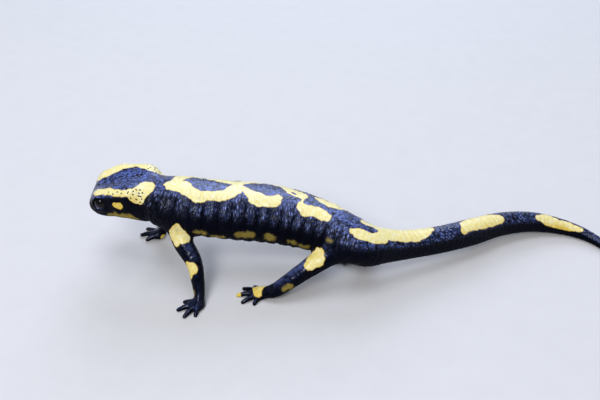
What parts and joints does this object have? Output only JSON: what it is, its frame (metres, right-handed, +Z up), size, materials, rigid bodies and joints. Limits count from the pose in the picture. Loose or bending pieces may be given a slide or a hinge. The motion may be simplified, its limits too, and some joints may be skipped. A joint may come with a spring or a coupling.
{
  "type": "fire salamander",
  "caption": "Adult fire salamander standing on four feet, trunk raised, head to one end, tail swung in an S and laid on the floor at its tip.",
  "frame": {"origin": "on the floor, under the middle of the animal's bounding box", "axes": "+X from the head towards the tail, +Y to the animal's right, +Z up"},
  "size_m": [0.184, 0.046, 0.0333],
  "materials": {
    "skin": "wet glossy black skin with yellow markings",
    "eye": "wet, almost black eye"
  },
  "bodies": {
    "root": {"head": "skin", "neck": "skin", "torso": "skin", "pelvis": "skin", "tail_base": "skin", "tail_middle": "skin", "tail_rear": "skin", "tail_tip": "skin", "upper_arm_left": "skin", "forearm_left": "skin", "hand_left": "skin", "upper_arm_right": "skin", "forearm_right": "skin", "hand_right": "skin", "thigh_left": "skin", "shin_left": "skin", "foot_left": "skin", "thigh_right": "skin", "shin_right": "skin", "foot_right": "skin", "eye_left": "eye", "eye_right": "eye"}
  },
  "joints": []
}
